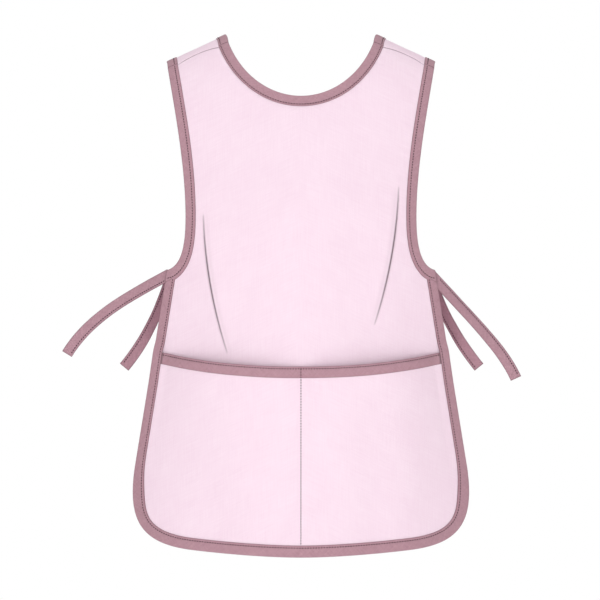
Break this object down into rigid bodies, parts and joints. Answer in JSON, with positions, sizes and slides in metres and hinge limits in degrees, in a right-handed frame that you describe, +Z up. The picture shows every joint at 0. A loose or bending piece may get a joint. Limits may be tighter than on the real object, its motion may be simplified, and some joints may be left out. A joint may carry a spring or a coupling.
{
  "type": "bib apron",
  "caption": "Pull-over bib apron with front and back panels, a round neck, open armholes, bound edges, side ties and a divided pocket across the lower front.",
  "frame": {"origin": "midway between the neck points of the two shoulders, on the line where the cloth folds over them", "axes": "+Z up, -Y towards the front of the apron, +X to the right as seen from the front"},
  "size_m": [0.6497, 0.238, 0.7421],
  "materials": {
    "panel_cloth": "pale pink plain-weave cotton blend, matt",
    "binding_tape": "mauve bias tape, folded over the edge and stitched close to its fold line, matt",
    "tie_cloth": "mauve folded cloth strap, stitched along one edge, matt",
    "stitch_thread": "dark plum spun sewing thread"
  },
  "bodies": {
    "root": {"front_panel": "panel_cloth", "back_panel": "panel_cloth", "pocket_panel": "panel_cloth", "pocket_binding": "binding_tape", "neck_binding_front": "binding_tape", "neck_binding_back": "binding_tape", "armhole_binding_front_left": "binding_tape", "armhole_binding_front_right": "binding_tape", "armhole_binding_back_left": "binding_tape", "armhole_binding_back_right": "binding_tape", "hem_binding_front": "binding_tape", "hem_binding_back": "binding_tape", "tie_front_left": "tie_cloth", "tie_front_right": "tie_cloth", "tie_back_left": "tie_cloth", "tie_back_right": "tie_cloth"}
  },
  "joints": []
}
